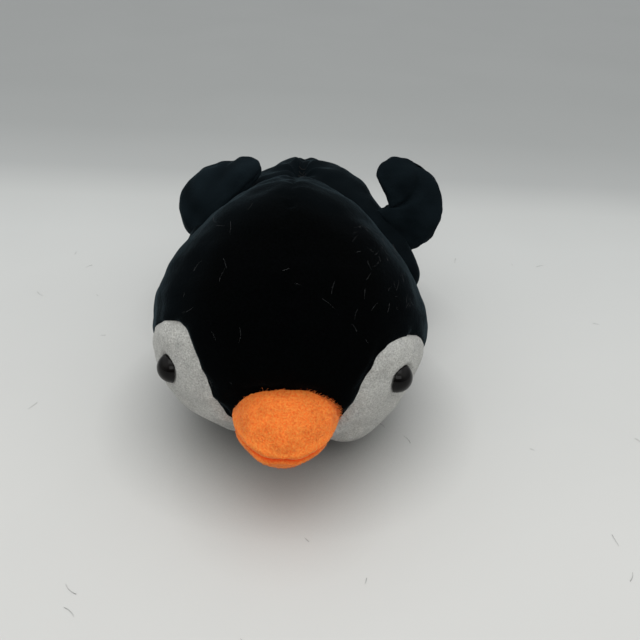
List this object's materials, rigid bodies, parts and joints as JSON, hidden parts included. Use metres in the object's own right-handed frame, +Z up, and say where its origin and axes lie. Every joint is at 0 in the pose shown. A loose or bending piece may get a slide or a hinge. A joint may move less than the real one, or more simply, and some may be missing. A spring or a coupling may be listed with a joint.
{
  "type": "plush penguin",
  "caption": "Floppy plush penguin that lies on its belly: short-pile black, white and orange fabric over stuffing, with domed safety eyes, a soft beak and sewn flippers, feet and tail.",
  "frame": {"origin": "on the surface it lies on, at the middle of the flat face of the belly", "axes": "+Z up, -Y the way the penguin faces, +X towards eye_right; lying on its belly, the longest extent runs along Y"},
  "size_m": [0.1475, 0.2869, 0.1169],
  "materials": {
    "black_plush": "short-pile velboa, matte with a cool sheen at grazing angles",
    "white_plush": "short-pile velboa, warm white",
    "orange_plush": "short curly pile, bright orange",
    "stuffing": "polyester fibre filling",
    "eye": "polished, very dark brown",
    "washer": "moulded, natural white",
    "thread": "twisted polyester thread"
  },
  "bodies": {
    "torso": {"back_left": "black_plush", "back_right": "black_plush", "belly_panel": "white_plush", "body_stuffing": "stuffing", "closing_stitch": "thread"},
    "neck": {"neck_stuffing": "stuffing"},
    "head": {"crown_left": "black_plush", "crown_right": "black_plush", "cheek_left": "white_plush", "cheek_right": "white_plush", "throat_panel": "white_plush", "head_stuffing": "stuffing", "beak_upper": "orange_plush", "beak_lower": "orange_plush", "beak_stuffing": "stuffing", "eye_left": "eye", "eye_right": "eye", "eye_washer_left": "washer", "eye_washer_right": "washer"},
    "flipper_left": {"flipper_left_outer": "black_plush", "flipper_left_inner": "black_plush", "flipper_left_stuffing": "stuffing"},
    "flipper_right": {"flipper_right_outer": "black_plush", "flipper_right_inner": "black_plush", "flipper_right_stuffing": "stuffing"},
    "foot_left": {"foot_left_top": "orange_plush", "foot_left_sole": "orange_plush", "foot_left_stuffing": "stuffing"},
    "foot_right": {"foot_right_top": "orange_plush", "foot_right_sole": "orange_plush", "foot_right_stuffing": "stuffing"},
    "tail": {"tail_top": "black_plush", "tail_under": "black_plush", "tail_stuffing": "stuffing"}
  },
  "joints": [
    {"name": "head_turn", "type": "hinge", "parent": "torso", "child": "neck", "pos_m": [0, -0.078, 0.05], "axis": [0, 0, 1], "range_deg": [-20, 20]},
    {"name": "head_nod", "type": "hinge", "parent": "neck", "child": "head", "pos_m": [0, -0.078, 0.05], "axis": [-1, 0, 0], "range_deg": [0, 25]},
    {"name": "flipper_left_swing", "type": "hinge", "parent": "torso", "child": "flipper_left", "pos_m": [-0.054, -0.04, 0.053], "axis": [0, -1, 0], "range_deg": [0, 50]},
    {"name": "flipper_right_swing", "type": "hinge", "parent": "torso", "child": "flipper_right", "pos_m": [0.054, -0.04, 0.053], "axis": [0, 1, 0], "range_deg": [-10, 50]},
    {"name": "foot_left_flex", "type": "hinge", "parent": "torso", "child": "foot_left", "pos_m": [-0.025, 0.05, 0.009], "axis": [1, 0, 0], "range_deg": [0, 25]},
    {"name": "foot_right_flex", "type": "hinge", "parent": "torso", "child": "foot_right", "pos_m": [0.025, 0.05, 0.009], "axis": [1, 0, 0], "range_deg": [0, 25]},
    {"name": "tail_flex", "type": "hinge", "parent": "torso", "child": "tail", "pos_m": [0, 0.056, 0.04], "axis": [1, 0, 0], "range_deg": [-15, 25]}
  ]
}
